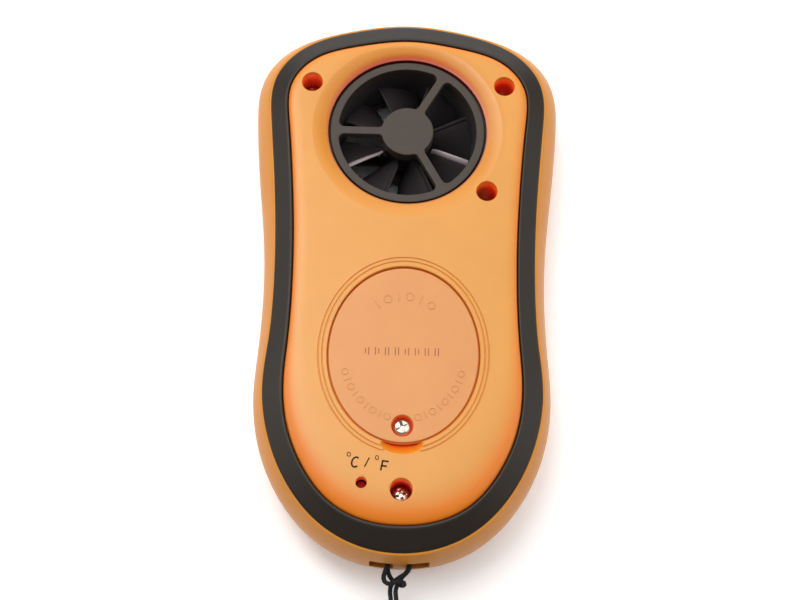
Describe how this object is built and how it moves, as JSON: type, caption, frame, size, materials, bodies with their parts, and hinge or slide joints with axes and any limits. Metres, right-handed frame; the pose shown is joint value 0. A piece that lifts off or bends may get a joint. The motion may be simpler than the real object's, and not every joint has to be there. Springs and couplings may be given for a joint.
{
  "type": "handheld weather meter",
  "caption": "Pocket anemometer with a guarded impeller, battery door, recessed unit switch, push buttons and wrist cord; measures wind speed and temperature.",
  "frame": {"origin": "under the middle of the case, on the surface that the meter lies on, face down", "axes": "+Z out of the meter's back, +Y towards the impeller end, -Y towards the strap eye"},
  "size_m": [0.0596, 0.1318, 0.0175],
  "materials": {
    "case_orange": "fine satin moulded plastic",
    "band_rubber": "soft matt",
    "guard_grey": "satin",
    "impeller_black": "semi gloss",
    "screw_steel": "bright plated",
    "bearing_brass": "turned",
    "contact_nickel": "plated spring sheet",
    "cell_steel": "brushed",
    "board_green": "solder mask",
    "chip_black": "moulded epoxy",
    "seal_rubber": "matt",
    "lcd_grey": "display glass",
    "window_clear": "clear",
    "frame_white": "moulded",
    "button_grey": "soft matt",
    "plunger_red": "moulded",
    "cord_black": "braided"
  },
  "bodies": {
    "case": {"battery_contact_negative": "contact_nickel", "battery_contact_positive": "contact_nickel", "battery_door_seal": "seal_rubber", "board_screw_1": "screw_steel", "board_screw_2": "screw_steel", "board_screw_3": "screw_steel", "board_screw_4": "screw_steel", "case_screw_bottom": "screw_steel", "case_screw_middle_right": "screw_steel", "case_screw_top_left": "screw_steel", "case_screw_top_right": "screw_steel", "circuit_board": "board_green", "coin_cell": "cell_steel", "controller_chip": "chip_black", "display_window": "window_clear", "front_bearing": "bearing_brass", "front_case": "case_orange", "front_guard": "guard_grey", "grip_band": "band_rubber", "impeller_duct": "guard_grey", "lanyard_coil": "cord_black", "lanyard_cord_long": "cord_black", "lanyard_cord_short": "cord_black", "lanyard_knot": "cord_black", "lcd_connector": "seal_rubber", "lcd_frame": "frame_white", "lcd_glass": "lcd_grey", "mode_switch": "contact_nickel", "power_switch": "contact_nickel", "rear_bearing": "bearing_brass", "rear_case": "case_orange", "rear_guard": "guard_grey", "rotation_sensor": "chip_black", "set_switch": "contact_nickel", "temperature_sensor": "chip_black", "timing_crystal": "cell_steel", "unit_switch_body": "chip_black"},
    "impeller": {"impeller": "impeller_black", "impeller_shaft": "screw_steel", "impeller_magnet": "cell_steel"},
    "battery_door": {"battery_door": "case_orange", "battery_door_screw": "screw_steel"},
    "power_button": {"power_button": "button_grey", "power_plunger": "plunger_red"},
    "mode_button": {"mode_button": "button_grey", "mode_plunger": "plunger_red"},
    "set_button": {"set_button": "button_grey", "set_plunger": "plunger_red"},
    "unit_switch": {"unit_switch_plunger": "plunger_red"}
  },
  "joints": [
    {"name": "impeller_spin", "type": "hinge", "parent": "case", "child": "impeller", "pos_m": [0, 0.0293, 0.0085], "axis": [0, 0, 1], "continuous": true},
    {"name": "battery_door_lift", "type": "slide", "parent": "case", "child": "battery_door", "axis": [0, 0, 1], "range_m": [0, 0.02]},
    {"name": "power_press", "type": "slide", "parent": "case", "child": "power_button", "axis": [0, 0, 1], "range_m": [0, 0.0005], "stiffness_N_per_m": 600, "springref_m": -0.0005},
    {"name": "mode_press", "type": "slide", "parent": "case", "child": "mode_button", "axis": [0, 0, 1], "range_m": [0, 0.0005], "stiffness_N_per_m": 600, "springref_m": -0.0005},
    {"name": "set_press", "type": "slide", "parent": "case", "child": "set_button", "axis": [0, 0, 1], "range_m": [0, 0.0005], "stiffness_N_per_m": 600, "springref_m": -0.0005},
    {"name": "unit_switch_press", "type": "slide", "parent": "case", "child": "unit_switch", "axis": [0, 0, -1], "range_m": [0, 0.0004], "stiffness_N_per_m": 500, "springref_m": -0.0004}
  ]
}
